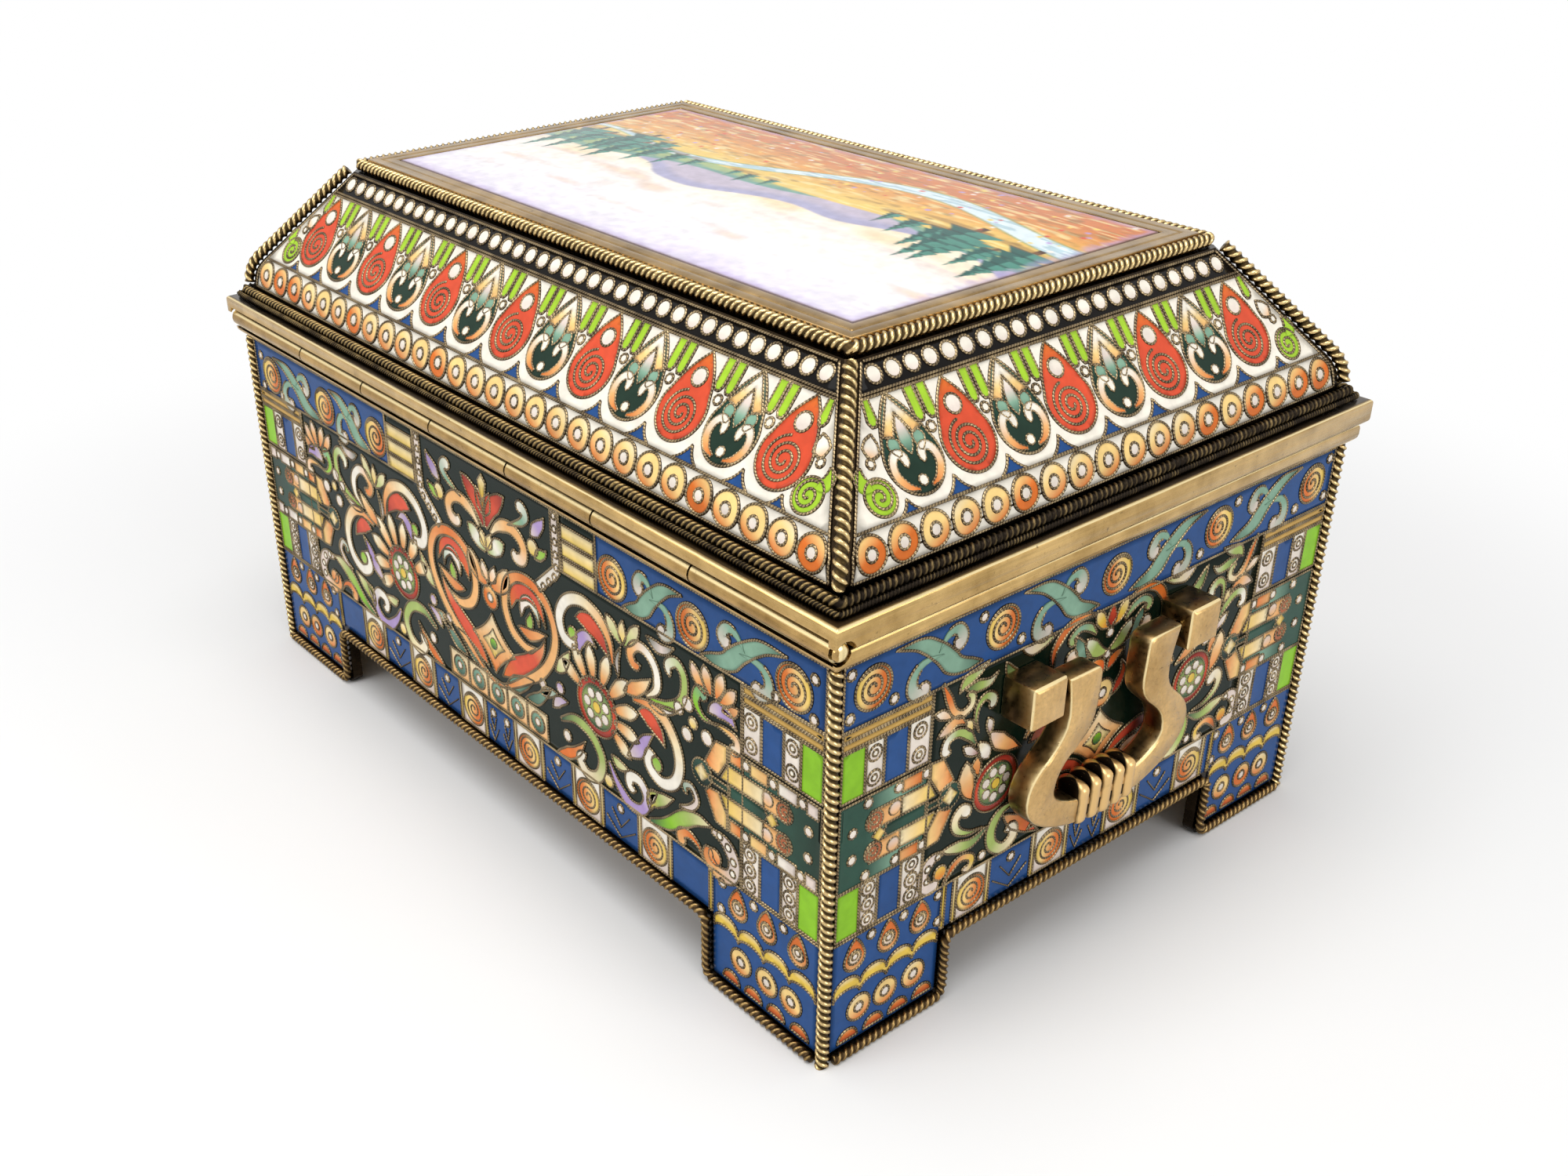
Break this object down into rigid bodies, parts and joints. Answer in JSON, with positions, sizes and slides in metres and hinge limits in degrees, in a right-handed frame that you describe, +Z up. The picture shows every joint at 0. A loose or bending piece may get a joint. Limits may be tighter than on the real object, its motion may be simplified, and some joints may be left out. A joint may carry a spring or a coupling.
{
  "type": "casket",
  "caption": "Hinged keepsake casket on bracket feet with a hipped lid, enamelled plates edged in rope wire and swinging bail handles on its ends.",
  "frame": {"origin": "middle of the footprint, on the surface that the feet stand on", "axes": "+Z up, +Y out of the hinge side, -Y out of the front that the lid opens from, X along the length between the handles"},
  "size_m": [0.14, 0.0922, 0.0806],
  "materials": {
    "wall_enamel": "fired gloss enamel in wire cells",
    "lid_enamel": "fired gloss enamel in wire cells",
    "plaque_enamel": "painted gloss enamel",
    "gilt": "worn gilding, satin",
    "cast_gilt": "cast, brushed, worn gilding",
    "rope_gilt": "twisted wire, gilt on the crests, dark between",
    "dark_gilt": "twisted wire, dark patina"
  },
  "bodies": {
    "box": {"wall_back": "wall_enamel", "wall_left": "wall_enamel", "wall_front": "wall_enamel", "wall_right": "wall_enamel", "floor": "gilt", "corner_rope_back_right": "rope_gilt", "corner_rope_back_left": "rope_gilt", "corner_rope_front_left": "rope_gilt", "corner_rope_front_right": "rope_gilt", "edge_rope_back": "rope_gilt", "edge_rope_left": "rope_gilt", "edge_rope_front": "rope_gilt", "edge_rope_right": "rope_gilt", "body_rim": "gilt", "knuckle_2": "gilt", "knuckle_4": "gilt", "knuckle_6": "gilt", "lug_left_a": "cast_gilt", "lug_left_b": "cast_gilt", "lug_right_a": "cast_gilt", "lug_right_b": "cast_gilt", "pivot_pin_left_a": "cast_gilt", "pivot_pin_left_b": "cast_gilt", "pivot_pin_right_a": "cast_gilt", "pivot_pin_right_b": "cast_gilt"},
    "lid": {"lid_rim": "gilt", "lid_back": "lid_enamel", "lid_left": "lid_enamel", "lid_front": "lid_enamel", "lid_right": "lid_enamel", "hip_rope_back_right": "rope_gilt", "hip_rope_back_left": "rope_gilt", "hip_rope_front_left": "rope_gilt", "hip_rope_front_right": "rope_gilt", "base_rope": "dark_gilt", "top_rope": "rope_gilt", "plaque_frame": "gilt", "plaque": "plaque_enamel", "knuckle_1": "gilt", "knuckle_3": "gilt", "knuckle_5": "gilt", "knuckle_7": "gilt", "hinge_pin": "gilt"},
    "left_handle": {"handle_left": "cast_gilt"},
    "right_handle": {"handle_right": "cast_gilt"}
  },
  "joints": [
    {"name": "lid_hinge", "type": "hinge", "parent": "box", "child": "lid", "pos_m": [0, 0.04485, 0.0555], "axis": [-1, 0, 0], "range_deg": [0, 100]},
    {"name": "left_handle_swing", "type": "hinge", "parent": "box", "child": "left_handle", "pos_m": [-0.0678, 0.0028, 0.0396], "axis": [0, 1, 0], "range_deg": [0, 90]},
    {"name": "right_handle_swing", "type": "hinge", "parent": "box", "child": "right_handle", "pos_m": [0.0678, -0.0028, 0.0396], "axis": [0, -1, 0], "range_deg": [0, 90]}
  ]
}
